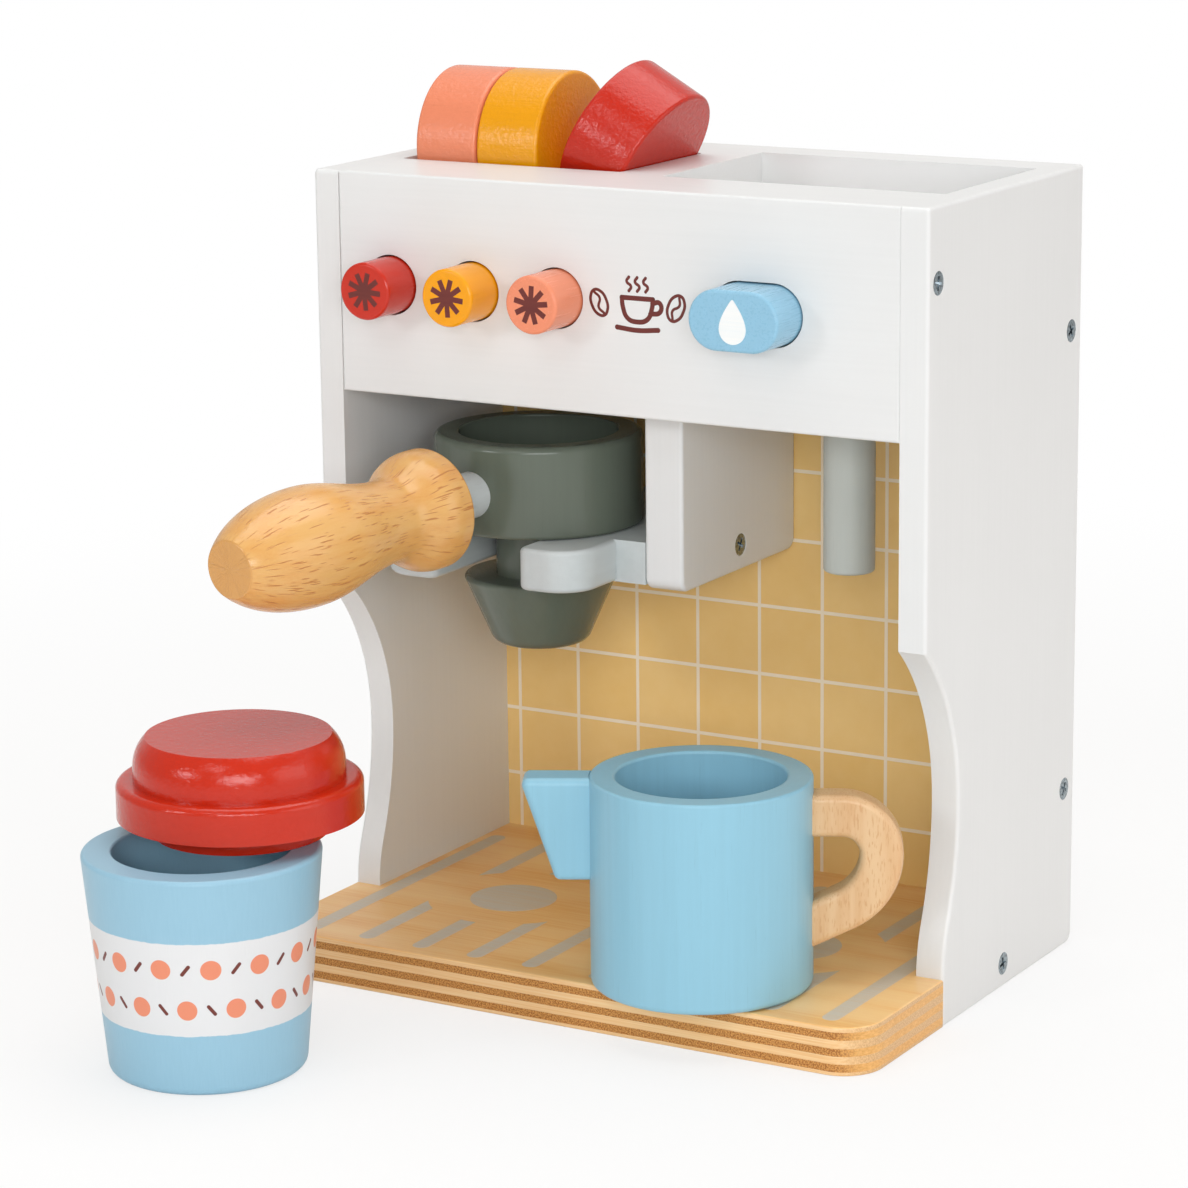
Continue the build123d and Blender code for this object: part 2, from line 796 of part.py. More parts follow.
def pods():
    """Two pods stand side by side in the slot, and the third leans on the slot's end."""
    lean = radians(pod_lean)
    middle_x, middle_z = leaning_pod_place()
    low_rim_x = middle_x - pod_thickness / 2 * cos(lean) - pod_radius * sin(lean)
    second_x = low_rim_x - pod_gap - pod_thickness / 2
    first_x = second_x - pod_gap - pod_thickness
    upright_z = deck_bottom + pod_seat_gap + pod_radius
    return {
        "coral_pod": Pos(first_x, pod_y, upright_z) * pod(),
        "yellow_pod": Pos(second_x, pod_y, upright_z) * pod(),
        "red_pod": Pos(middle_x, pod_y, middle_z) * Rot(Y=pod_lean) * pod(),
    }


# ---- The whole toy --------------------------------------------------------------------
def all_nodes():
    """Every piece under the name of its node; a list is a group of separate solids."""
    nodes = {
        "left_side_panel": side_panel(-1),
        "right_side_panel": side_panel(1),
        "back_panel": back_panel(),
        "base_board": base_board(),
        "front_fascia": front_fascia(),
        "top_deck": top_deck(),
        "deck_floor": deck_floor(),
        "head_floor": head_floor(),
        "button_guide_board": guide_board(),
        "group_partition": group_partition(),
        "portafilter_fork": portafilter_fork(),
        "water_spout": water_spout(),
        "side_screws": screws_at(side_screw_places(-1) + side_screw_places(1)),
        "fork_screws": screws_at(fork_screw_places()),
        "back_screws": screws_at(back_screw_places()),
        "water_button": water_button(),
        "water_button_spring": return_spring(water_button_x),
        "portafilter_bowl": portafilter_bowl(),
        "portafilter_cone": portafilter_cone(),
        "handle_dowel": handle_dowel(),
        "portafilter_handle": portafilter_handle(),
        "jug_body": jug_body(),
        "jug_spout": jug_spout(),
        "jug_handle": jug_handle(),
        "cup": cup(),
        "cup_lid": cup_lid(),
    }
    for colour, x in zip(("red", "yellow", "coral"), button_xs):
        nodes[colour + "_button"] = round_button(x)
        nodes[colour + "_button_spring"] = return_spring(x)
    nodes.update(pods())
    return nodes


os.makedirs("parts", exist_ok=True)
for name, shape in all_nodes().items():
    solids = shape if isinstance(shape, list) else [shape]
    pieces = [piece for one in solids for piece in one.solids()]
    export_step(Compound(label=name, children=pieces), f"parts/{name}.step")
    print(name, len(solids))
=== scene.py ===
# %% [markdown]
# # A toy coffee maker, dressed for the camera
#
# The boards, turned parts and joints come from the CAD model, which loads as the frame.
# This lesson adds what a drawing office leaves out: paint, printed patterns, wood grain,
# screw heads and soft studio light. Everything is in metres, +X to the right of somebody who
# faces the toy, +Y to the back and +Z up, with the origin under the middle of the base.

# %% Load the frame
import functools
import math

import bmesh
import bpy
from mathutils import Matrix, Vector


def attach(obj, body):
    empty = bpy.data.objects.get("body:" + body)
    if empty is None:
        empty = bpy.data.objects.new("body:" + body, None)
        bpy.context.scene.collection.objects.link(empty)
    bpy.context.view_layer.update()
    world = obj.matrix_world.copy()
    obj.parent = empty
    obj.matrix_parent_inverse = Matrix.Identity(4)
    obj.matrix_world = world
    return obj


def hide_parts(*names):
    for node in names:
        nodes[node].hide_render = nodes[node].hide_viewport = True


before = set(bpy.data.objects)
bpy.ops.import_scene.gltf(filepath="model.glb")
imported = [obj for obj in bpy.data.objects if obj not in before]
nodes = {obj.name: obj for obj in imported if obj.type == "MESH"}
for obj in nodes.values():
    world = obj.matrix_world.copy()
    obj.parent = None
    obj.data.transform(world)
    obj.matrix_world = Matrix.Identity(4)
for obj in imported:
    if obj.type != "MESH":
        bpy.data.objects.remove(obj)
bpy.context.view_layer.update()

# %% [markdown]
# ## Camera
#
# A long lens from the front right and a little above: the right side panel shows, and
# upright edges stay almost parallel. The view transform is Standard, so that painted colours
# come out as the paint chart gives them.

# %% Camera
camera_data = bpy.data.cameras.new("camera")
camera_data.sensor_width = 36
camera_data.lens = 121.6
camera_data.clip_end = 50
camera = bpy.data.objects.new("camera", camera_data)
bpy.context.scene.collection.objects.link(camera)
camera.location = (0.5947, -1.0646, 0.4062)
camera.rotation_euler = [math.radians(angle) for angle in (76.7363, 0.6393, 30.1309)]
bpy.context.scene.camera = camera
bpy.context.scene.view_settings.view_transform = "Standard"
print("camera at", tuple(camera.location), "lens", camera_data.lens)

# %% [markdown]
# ## Units and colours
#
# Toy makers think in millimetres and Blender in metres, so one function turns the first into
# the second. Another turns a sRGB hex value, as a paint chart gives it, into linear colour.


# %% Units and colours
def mm(*lengths):
    """Millimetres to metres: one number, or a tuple of them."""
    metres = tuple(length / 1000 for length in lengths)
    return metres if len(metres) > 1 else metres[0]


def linear(hex_value, factor=1.0):
    """A sRGB hex colour as linear RGBA, made darker or lighter by a factor."""
    channels = [int(hex_value[i : i + 2], 16) / 255 for i in (1, 3, 5)]
    light = [c / 12.92 if c <= 0.04045 else ((c + 0.055) / 1.055) ** 2.4 for c in channels]
    return tuple(min(1.0, c * factor) for c in light) + (1.0,)


print("an inch is", mm(25.4), "m and white paint is", [round(c, 3) for c in linear("#E3E3E2")])

# %% [markdown]
# ## Shader nodes
#
# Every finish here is a small web of nodes, and one function makes them all: it takes the
# kind of node, what goes into its sockets, and its settings. A finish starts as an empty
# material, and ends with its shader joined to the output.
#
# All patterns read the object's own coordinates. The pieces have their origin at the origin
# of the frame, so these are real places in metres. A mapping node of the texture type
# moves, turns and divides them by a grain's real size, so a noise of scale 1 then has
# one fibre to the unit.


# %% Nodes
def add(tree, kind, *inputs, output=0, named=None, **settings):
    """Add a shader node and give one of its outputs, or the node if it has none.

    Inputs fill the sockets in order, and named ones by name or number. Another node's output
    is linked to its socket, and anything else is set as the socket's value.
    """
    new = tree.nodes.new("ShaderNode" + kind)
    for name, value in settings.items():
        setattr(new, name, value)
    for socket, value in [*enumerate(inputs), *(named or {}).items()]:
        if isinstance(value, bpy.types.NodeSocket):
            tree.links.new(value, new.inputs[socket])
        else:
            new.inputs[socket].default_value = value
    return new.outputs[output] if new.outputs else new


def start(name):
    """An empty material, and the function that adds a node to it."""
    material = bpy.data.materials.new(name)
    material.use_nodes = True
    material.node_tree.nodes.clear()
    return material, functools.partial(add, material.node_tree)


def fibre(along, width, length):
    """Size of a wood fibre in metres, as (x, y, z), for grain that runs along one axis."""
    return tuple(mm(length if axis == along else width) for axis in "XYZ")


print("a fibre along Z is", fibre("Z", 1.2, 60))

# %% [markdown]
# ### White satin paint
#
# The cabinet boards are sprayed with white water-based lacquer. To the eye it is even and
# slightly warm, with a low sheen that mirrors the pods faintly in the top edge. Two things
# keep it from looking like plastic: an orange peel about 1.5 mm across that is only just
# there, and long streaks of the board's grain that telegraph through the coats.


# %% White paint
def white_satin_lacquer(name, along):
    """Sprayed lacquer on board, with the grain along one axis."""
    material, node = start(name)
    place = node("TexCoord", output="Object")
    grain = node("Mapping", place, named={"Scale": fibre(along, 1.2, 60)}, vector_type="TEXTURE")
    streaks = node("TexNoise", grain, named={"Scale": 1.0, "Detail": 4.0})
    clouds = node("TexNoise", place, named={"Scale": 1 / mm(45), "Detail": 2.0})
    peel = node("TexNoise", place, named={"Scale": 1 / mm(1.5), "Detail": 2.0})
    thickness = node("Math", streaks, clouds, operation="ADD")
    covered = node("MapRange", thickness, 0.7, 1.3, interpolation_type="SMOOTHSTEP")
    paint = {6: linear("#E3E3E2", 0.98), 7: linear("#E3E3E2")}
    colour = node("Mix", covered, named=paint, output=2, data_type="RGBA")
    sheen = node("Math", clouds, 0.08, 0.32, operation="MULTIPLY_ADD")
    height = node("Math", streaks, 0.7, peel, operation="MULTIPLY_ADD")
    relief = node("Bump", named={"Strength": 0.35, "Distance": mm(0.012), "Height": height})
    surface = {"Base Color": colour, "Roughness": sheen, "IOR": 1.5, "Normal": relief}
    node("OutputMaterial", node("BsdfPrincipled", named=surface))
    return material


white_paint = white_satin_lacquer("white_satin_lacquer", "Z")
white_paint_across = white_satin_lacquer("white_satin_lacquer_across", "X")
print("made", white_paint.name, "and", white_paint_across.name)

# %% [markdown]
# ### Printed tiles
#
# The back board carries a flat print of square ochre tiles, 22.9 mm apart, with pale joints
# 1.15 mm wide. It is one smooth sheet of ink, so the joints have no depth. A square grid comes
# from x and z counted in tiles: the distance to the nearest whole number draws the joints,
# and white noise on the whole numbers gives each tile its own slight tone. Only the face
# towards the bay is printed, below the head; the rest of the board is white.


# %% Tile print
def printed_tile_board(name):
    """White lacquered board with an ochre tile print on its front face."""
    material, node = start(name)
    pitch, joint, first_x, first_z, head, face = mm(22.93, 1.15, -91.37, 148.18, 181, 60.4)
    place = node("TexCoord", output="Object")
    x, y, z = node("SeparateXYZ", place).node.outputs
    half_joint = joint / 2 / pitch
    joints, cells = [], []
    for axis, first in ((x, first_x), (z, first_z)):
        from_first = node("Math", axis, first, operation="SUBTRACT")
        count = node("Math", from_first, pitch, operation="DIVIDE")
        cells.append(node("Math", count, operation="FLOOR"))
        apart = node("Math", count, 0.5, operation="PINGPONG")
        edge = (half_joint * 0.85, half_joint * 1.15, 1.0, 0.0)
        joints.append(node("MapRange", apart, *edge, interpolation_type="SMOOTHSTEP"))
    grid = node("Math", *joints, operation="MAXIMUM")
    own_tone = node("TexWhiteNoise", node("CombineXYZ", *cells), noise_dimensions="2D")
    mottle = node("TexNoise", place, named={"Scale": 1 / mm(7), "Detail": 3.0})
    tones = node("Math", own_tone, 0.8, mottle, operation="MULTIPLY_ADD")
    tone = node("MapRange", tones, 0.1, 1.7)
    ochres = {6: linear("#F7CD7D"), 7: linear("#FEDA94")}
    tile = node("Mix", tone, named=ochres, output=2, data_type="RGBA")
    inks = {6: tile, 7: linear("#FFF1DA")}
    print_colour = node("Mix", grid, named=inks, output=2, data_type="RGBA")
    in_front = node("Math", y, face, operation="LESS_THAN")
    below_head = node("Math", z, head, operation="LESS_THAN")
    printed = node("Math", in_front, below_head, operation="MULTIPLY")
    board = {6: linear("#E3E3E2"), 7: print_colour}
    colour = node("Mix", printed, named=board, output=2, data_type="RGBA")
    peel = node("TexNoise", place, named={"Scale": 1 / mm(1.5), "Detail": 2.0})
    relief = node("Bump", named={"Strength": 0.4, "Distance": mm(0.02), "Height": peel})
    surface = {"Base Color": colour, "Roughness": 0.42, "IOR": 1.5, "Normal": relief}
    node("OutputMaterial", node("BsdfPrincipled", named=surface))
    return material


tile_board = printed_tile_board("printed_tile_board")
print("made", tile_board.name)

# %% [markdown]
# ### Plywood base
#
# The base is 15 mm plywood of seven plies under clear satin lacquer. Plies turn the grain by
# a right angle each time: along the board the pale ones show long grain, and the ones between
# show open end grain, which drinks the lacquer and goes brown and pitted. The layers are a
# function of height alone, so the top and bottom faces get the pale outer ply with no extra
# work. The figure on the top runs along X.


# %% Plies
def brown_plies(node, place, height):
    """1 on the plies that are brown in front and 0 on the others, by height."""
    brown_levels = ((1.3, 3.7), (6.1, 8.5), (11.1, 13.5))
    wander_depth, glue_line = 0.5, 0.16
    ply_place = node("Mapping", place, named={"Scale": (mm(8), mm(8), 1000)}, vector_type="TEXTURE")
    wander = node("TexNoise", ply_place, named={"Scale": 1.0, "Detail": 7.0, "Roughness": 0.7})
    level = node("Math", wander, mm(wander_depth), height, operation="MULTIPLY_ADD")
    brown = 0.0
    for low, high in brown_levels:
        for edge, operation in ((low, "ADD"), (high, "SUBTRACT")):
            # The wander lifts every level by half its depth on average.
            middle = edge + wander_depth / 2
            soft_edge = mm(middle - glue_line / 2, middle + glue_line / 2)
            above = node("MapRange", level, *soft_edge, interpolation_type="SMOOTHSTEP")
            brown = node("Math", brown, above, operation=operation)
    return brown


def cut_colours(node, open_pores, in_fibre):
    """A colour for each way that a ply is cut."""
    cuts = {
        "brown_end": (open_pores, "#9B5C22", "#D89D52"),
        "pale_long": (in_fibre, "#EBBA7E", "#F5D09C"),
        "top": (in_fibre, "#F2B368", "#FBC982"),
        "pale_end": (open_pores, "#CFA16E", "#E8C08C"),
        "brown_long": (in_fibre, "#DDA256", "#F0BB72"),
    }
    colours = {}
    for cut, (share, dark, light) in cuts.items():
        tones = {6: linear(dark), 7: linear(light)}
        colours[cut] = node("Mix", share, named=tones, output=2, data_type="RGBA")
    return colours


print("a ply is about", mm(2.4), "m thick")

# %% [markdown]
# The front edge and the top share one look, and the two short edges have the plies swapped:
# there the brown ones show long grain and the pale ones end grain, both in calm tones. How
# far a face looks along X tells them apart, so the look turns over gently round the corner.


# %% Plywood
def lacquered_plywood(name):
    """Seven plies by height, with long grain on the pale ones and pits in the brown ones."""
    material, node = start(name)
    place = node("TexCoord", output="Object")
    height = node("SeparateXYZ", place).node.outputs["Z"]
    brown = brown_plies(node, place, height)
    # Open vessels are about 0.1 mm wide, too fine to show, so they are drawn 0.5 mm wide.
    pits = node("TexNoise", place, named={"Scale": 1 / mm(0.5), "Detail": 3.0, "Roughness": 0.7})
    open_pores = node("MapRange", pits, 0.38, 0.62, interpolation_type="SMOOTHSTEP")
    grain = node("Mapping", place, named={"Scale": mm(38, 1.1, 0.5)}, vector_type="TEXTURE")
    fibres = node("TexNoise", grain, named={"Scale": 1.0, "Detail": 5.0, "Roughness": 0.6})
    in_fibre = node("MapRange", fibres, 0.3, 0.7, interpolation_type="SMOOTHSTEP")
    broad = node("Mapping", place, named={"Scale": mm(110, 16, 16)}, vector_type="TEXTURE")
    figure = node("TexNoise", broad, named={"Scale": 1.0, "Detail": 3.0})
    in_figure = node("MapRange", figure, 0.35, 0.7, interpolation_type="SMOOTHSTEP")
    # The board is 15 mm thick, so what is higher than this is its top face.
    on_top = node("MapRange", height, *mm(14.6, 14.9))
    facing_x = node("SeparateXYZ", node("TexCoord", output="Normal")).node.outputs["X"]
    sideways = node("Math", facing_x, operation="ABSOLUTE")
    on_side = node("MapRange", sideways, 0.25, 0.95, interpolation_type="SMOOTHSTEP")
    on_short_edge = node("Math", on_side, on_top, operation="SUBTRACT", use_clamp=True)
    colours = cut_colours(node, open_pores, in_fibre)
    top = {6: colours["top"], 7: linear("#FFD699")}
    top = node("Mix", in_figure, named=top, output=2, data_type="RGBA")
    long_grain = {6: colours["pale_long"], 7: top}
    long_grain = node("Mix", on_top, named=long_grain, output=2, data_type="RGBA")
    front = {6: long_grain, 7: colours["brown_end"]}
    front = node("Mix", brown, named=front, output=2, data_type="RGBA")
    side = {6: colours["pale_end"], 7: colours["brown_long"]}
    side = node("Mix", brown, named=side, output=2, data_type="RGBA")
    colour = node("Mix", on_short_edge, named={6: front, 7: side}, output=2, data_type="RGBA")
    off_side = node("Math", 1.0, on_side, operation="SUBTRACT")
    open_grain = node("Math", brown, off_side, operation="MULTIPLY")
    sheen = node("Math", open_grain, 0.3, 0.36, operation="MULTIPLY_ADD")
    pitted = node("Math", open_grain, pits, operation="MULTIPLY")
    depth = node("Math", fibres, 0.25, pitted, operation="MULTIPLY_ADD")
    relief = node("Bump", named={"Strength": 0.5, "Distance": mm(0.15), "Height": depth})
    surface = {"Base Color": colour, "Roughness": sheen, "IOR": 1.5, "Normal": relief}
    node("OutputMaterial", node("BsdfPrincipled", named=surface))
    return material


plywood = lacquered_plywood("lacquered_plywood")
print("made", plywood.name)

# %% [markdown]
# ### Coloured paint on turned wood
#
# Pods, buttons, jug, lid and the grey pieces are rubberwood or beech under two coats of
# coloured lacquer. The coats are thin: the grain shows as fine parallel scratches in the
# shine, and the colour lies a little deeper in the pores. Grain runs along the axis of each
# turned piece, except in the lid, which is turned from a flat board.


# %% Coloured paint
def painted_wood(name, hex_value, along, roughness, relief_depth=0.08, dimpled=0.0):
    """Thin coloured lacquer over grain that runs along one axis, its relief in millimetres."""
    material, node = start(name)
    place = node("TexCoord", output="Object")
    # Real pores are about 0.2 mm wide, too fine to show, so they are drawn 0.7 mm wide.
    fine = node("Mapping", place, named={"Scale": fibre(along, 0.7, 14)}, vector_type="TEXTURE")
    fibres = node("TexNoise", fine, named={"Scale": 1.0, "Detail": 4.0, "Roughness": 0.65})
    broad = node("Mapping", place, named={"Scale": fibre(along, 2.2, 60)}, vector_type="TEXTURE")
    streaks = node("TexNoise", broad, named={"Scale": 1.0, "Detail": 3.0})
    pores = node("MapRange", fibres, 0.26, 0.4, 0.35, 0.0, interpolation_type="SMOOTHSTEP")
    in_streak = node("MapRange", streaks, 0.3, 0.7, interpolation_type="SMOOTHSTEP")
    coats = {6: linear(hex_value), 7: linear(hex_value, 1.03)}
    coat = node("Mix", in_streak, named=coats, output=2, data_type="RGBA")
    deep = {6: coat, 7: linear(hex_value, 0.8)}
    colour = node("Mix", pores, named=deep, output=2, data_type="RGBA")
    sheen = node("Math", fibres, 0.12, roughness - 0.06, operation="MULTIPLY_ADD")
    dimples = node("TexNoise", place, named={"Scale": 1 / mm(1.6), "Detail": 4.0})
    height = node("Math", dimples, dimpled, fibres, operation="MULTIPLY_ADD")
    relief = node("Bump", named={"Strength": 0.5, "Distance": mm(relief_depth), "Height": height})
    surface = {"Base Color": colour, "Roughness": sheen, "IOR": 1.45, "Normal": relief}
    node("OutputMaterial", node("BsdfPrincipled", named=surface))
    return material


red_paint = painted_wood("red_gloss_paint", "#C42B17", "Y", 0.2, relief_depth=0.04)
yellow_paint = painted_wood("yellow_gloss_paint", "#F09E00", "Y", 0.22, relief_depth=0.04)
coral_paint = painted_wood("coral_satin_paint", "#EA8D6A", "Y", 0.26, relief_depth=0.03)
blue_button_paint = painted_wood("blue_satin_paint", "#8CBCD5", "Y", 0.28, relief_depth=0.02)
jug_paint = painted_wood("blue_jug_paint", "#8CBED2", "Z", 0.34, relief_depth=0.04)
fork_paint = painted_wood("light_grey_paint", "#C6CCCC", "Y", 0.38)
# The spout has the fork's light grey paint made darker and warmer: painted shade of the bay it
# stands in.
spout_paint_with_painted_shade = painted_wood("light_grey_paint_with_painted_shade", "#B8BCB6", "Z", 0.38)
print("made", len(bpy.data.materials), "materials so far")

# %% [markdown]
# The glossiest pieces, lid and pods, were dipped instead of sprayed, which left dimples about
# 1.6 mm across that break up their highlights. The grey bowl has them too, only fainter. Each
# row gives a colour, the way the grain runs, the roughness, the relief in millimetres, and how
# much stronger than the grain the dimples are.

# %% Dipped paint
dips = {
    "coral_pod_paint": ("#E68763", "X", 0.24, 0.14, 2.5),
    "yellow_pod_paint": ("#E69A00", "X", 0.2, 0.14, 2.5),
    "red_pod_paint": ("#BF2510", "X", 0.15, 0.14, 3.0),
    "red_lid_paint": ("#C2290F", "Y", 0.12, 0.1, 3.0),
    "grey_green_paint": ("#626A5E", "Z", 0.22, 0.008, 0.6),
}
dipped = {name: painted_wood(name, *settings) for name, settings in dips.items()}
print("made", *dipped)

# %% [markdown]
# ### The cup's bands
#
# The cup is blue with a white belt, and the belt has a print of its own: here two rows
# of coral dots with short brown dashes between them. The belt is a range of heights, with an
# edge that creeps a little, as brushed paint does. For the print, the angle round the cup's
# axis becomes a length along the wall, and each mark is all that lies within a given
# distance of a short line: a round dot when the line has no length, else a dash.


# %% Printed marks
def marks(node, turns, height, repeats, wall, shift, level, half_length, half_width, lean):
    """Marks at equal steps round a wall: 1 on them and 0 off them, lengths in millimetres."""
    steps = node("Math", turns, repeats, shift, operation="MULTIPLY_ADD")
    cell = node("Math", steps, node("Math", steps, operation="ROUND"), operation="SUBTRACT")
    across = node("Math", cell, 2 * math.pi * wall / repeats, operation="MULTIPLY")
    up = node("Math", height, mm(level), operation="SUBTRACT")
    flat = node("CombineXYZ", across, up)
    turned = node("VectorRotate", flat, named={"Angle": -lean}, rotation_type="Z_AXIS")
    along, beside = node("SeparateXYZ", turned).node.outputs[:2]
    from_middle = node("Math", along, operation="ABSOLUTE")
    past = node("Math", from_middle, mm(half_length), operation="SUBTRACT")
    offset = node("CombineXYZ", node("Math", past, 0.0, operation="MAXIMUM"), beside)
    distance = node("VectorMath", offset, operation="LENGTH", output=1)
    edge = (mm(half_width - 0.08), mm(half_width + 0.08), 1.0, 0.0)
    return node("MapRange", distance, *edge, interpolation_type="SMOOTHSTEP")


print("a mark's soft edge is", mm(0.16), "m")


# %% Cup paint
def banded_cup_paint(name):
    """Blue paint with a white belt and a print of dots and dashes on it."""
    material, node = start(name)
    axis = mm(-71.9, -152.0, 0)
    wall, inside, low, high = mm(32.3, 28.5, 19.1, 47.65)
    place = node("TexCoord", output="Object")
    centred = node("VectorMath", place, axis, operation="SUBTRACT")
    east, north, height = node("SeparateXYZ", centred).node.outputs
    radius = node("VectorMath", node("CombineXYZ", east, north), operation="LENGTH", output=1)
    outside = node("Math", radius, inside, operation="GREATER_THAN")
    creep = node("TexNoise", place, named={"Scale": 1 / mm(3), "Detail": 3.0})
    belt_height = node("Math", creep, mm(0.7), height, operation="MULTIPLY_ADD")
    above = []
    for edge in (low, high):
        # The creep lifts an edge by 0.35 mm on average.
        soft_edge = (edge + mm(0.23), edge + mm(0.47))
        above.append(node("MapRange", belt_height, *soft_edge, interpolation_type="SMOOTHSTEP"))
    belt = node("Math", node("Math", *above, operation="SUBTRACT"), outside, operation="MULTIPLY")
    angle = node("Math", north, east, operation="ARCTAN2")
    turns = node("Math", angle, 2 * math.pi, operation="DIVIDE")
    repeats, upper_row, lower_row, half_step, lean = 14, 39.6, 27.2, 0.5, 0.9
    dot, dash = (0.0, 3.0), (1.5, 0.55)
    row = functools.partial(marks, node, turns, height, repeats, wall)
    dots = [row(0.0, upper_row, *dot, 0.0), row(half_step, lower_row, *dot, 0.0)]
    dashes = [row(half_step, upper_row, *dash, lean), row(0.0, lower_row, *dash, -lean)]
    ink = linear("#DEDEDF")
    for shapes, hex_value in ((dots, "#E58B6B"), (dashes, "#6F3028")):
        on_mark = node("Math", *shapes, operation="MAXIMUM")
        layers = {6: ink, 7: linear(hex_value)}
        ink = node("Mix", on_mark, named=layers, output=2, data_type="RGBA")
    # Pores are drawn 0.7 mm wide, as on the other painted pieces.
    fine = node("Mapping", place, named={"Scale": fibre("Z", 0.7, 14)}, vector_type="TEXTURE")
    fibres = node("TexNoise", fine, named={"Scale": 1.0, "Detail": 4.0, "Roughness": 0.65})
    blues = {6: linear("#90BACF"), 7: linear("#98C1D5")}
    blue = node("Mix", fibres, named=blues, output=2, data_type="RGBA")
    colour = node("Mix", belt, named={6: blue, 7: ink}, output=2, data_type="RGBA")
    sheen = node("Math", fibres, 0.12, 0.28, operation="MULTIPLY_ADD")
    relief = node("Bump", named={"Strength": 0.5, "Distance": mm(0.12), "Height": fibres})
    surface = {"Base Color": colour, "Roughness": sheen, "IOR": 1.45, "Normal": relief}
    node("OutputMaterial", node("BsdfPrincipled", named=surface))
    return material


cup_paint = banded_cup_paint("banded_cup_paint")
print("made", cup_paint.name)

# %% [markdown]
# ### Clear wood
#
# The portafilter's handle is turned rubberwood: golden, with long dark pores that follow
# the axis and broad soft bands. The jug's handle is beech: pinker and paler, with short
# fine flecks. Both are under clear lacquer. A mapping node lines the grain up with the
# handle, which leans and swings a little off the Y axis. Where a turned piece swells and
# tapers, its pores still run lengthwise to the eye, so they are laid on a round bar of
# even thickness and read from there. Real pores are about 0.2 mm wide, too fine to show, so
# they are drawn about half a millimetre wide.


# %% Clear lacquered wood
def clear_wood(name, pale, warm, pore, turn, centre, pore_size, pore_share, roughness, bar=None):
    """Lacquered wood with grain along Y before the turn; a bar is its radius and end."""
    material, node = start(name)
    place = node("TexCoord", output="Object")
    lined_up = node("Mapping", place, centre, turn, vector_type="TEXTURE")
    band_place = node("Mapping", lined_up, named={"Scale": mm(9, 70, 5)}, vector_type="TEXTURE")
    bands = node("TexNoise", band_place, named={"Scale": 1.0, "Detail": 4.0, "Roughness": 0.6})
    fibre_size = mm(0.5, 22, 0.5)
    fibre_place = node("Mapping", lined_up, named={"Scale": fibre_size}, vector_type="TEXTURE")
    fibres = node("TexNoise", fibre_place, named={"Scale": 1.0, "Detail": 4.0, "Roughness": 0.6})
    on_wood, end_grain = lined_up, 0.0
    if bar:
        radius, end = bar
        across, along, up = node("SeparateXYZ", lined_up).node.outputs
        outward = node("VectorMath", node("CombineXYZ", across, 0.0, up), operation="NORMALIZE")
        wrapped = node("VectorMath", outward, named={"Scale": radius}, operation="SCALE")
        on_wood = node("VectorMath", wrapped, node("CombineXYZ", 0.0, along), operation="ADD")
        end_grain = node("MapRange", along, end - mm(0.05), end + mm(0.05), 0.85, 0.0)
    pore_place = node("Mapping", on_wood, named={"Scale": pore_size}, vector_type="TEXTURE")
    holes = node("TexNoise", pore_place, named={"Scale": 1.0, "Detail": 1.0})
    edge = (pore_share - 0.05, pore_share + 0.03, 1.0, 0.0)
    pores = node("MapRange", holes, *edge, interpolation_type="SMOOTHSTEP")
    in_band = node("MapRange", bands, 0.33, 0.68, interpolation_type="SMOOTHSTEP")
    early = {6: linear(warm), 7: linear(pale)}
    body = node("Mix", in_band, named=early, output=2, data_type="RGBA")
    in_fibre = node("MapRange", fibres, 0.35, 0.7, 0.0, 0.35, interpolation_type="SMOOTHSTEP")
    body = node("Mix", in_fibre, named={6: body, 7: linear(pale)}, output=2, data_type="RGBA")
    stain = node("Math", pores, 0.75, operation="MULTIPLY")
    colour = node("Mix", stain, named={6: body, 7: linear(pore)}, output=2, data_type="RGBA")
    ends = {6: colour, 7: linear(warm, 0.92)}
    colour = node("Mix", end_grain, named=ends, output=2, data_type="RGBA")
    sheen = node("Math", pores, 0.25, roughness, operation="MULTIPLY_ADD")
    raised = node("Math", fibres, 0.3, operation="MULTIPLY")
    depth = node("Math", raised, pores, operation="SUBTRACT")
    relief = node("Bump", named={"Strength": 0.5, "Distance": mm(0.08), "Height": depth})
    surface = {"Base Color": colour, "Roughness": sheen, "IOR": 1.5, "Normal": relief}
    node("OutputMaterial", node("BsdfPrincipled", named=surface))
    return material


rubberwood = clear_wood(
    "lacquered_rubberwood",
    pale="#E0AE6A",
    warm="#DBA05A",
    pore="#B0692A",
    turn=(math.radians(2.2), 0, math.radians(-9)),
    centre=mm(-46.7, 0.3, 152.5),
    pore_size=mm(0.55, 6.5, 0.55),
    pore_share=0.36,
    roughness=0.21,
    bar=mm(16, -139.95),
)
beech = clear_wood(
    "lacquered_beech",
    pale="#E3BE91",
    warm="#D8A876",
    pore="#D29F6F",
    turn=(math.radians(-90), 0, 0),
    centre=mm(41.7, -55.6, 40),
    pore_size=mm(0.45, 3.2, 0.45),
    pore_share=0.38,
    roughness=0.34,
)
print("made", rubberwood.name, "and", beech.name)


# %% [markdown]
# ### Metal and ink
#
# The screws are zinc plated steel: a bluish bright metal with a slightly cloudy plating, whose
# crystals are too fine to show, so the clouds are drawn 0.9 mm wide.
# Printing ink is matt and even. The grey ink on the base is thin, so the wood's fibres
# show through it as faint streaks.


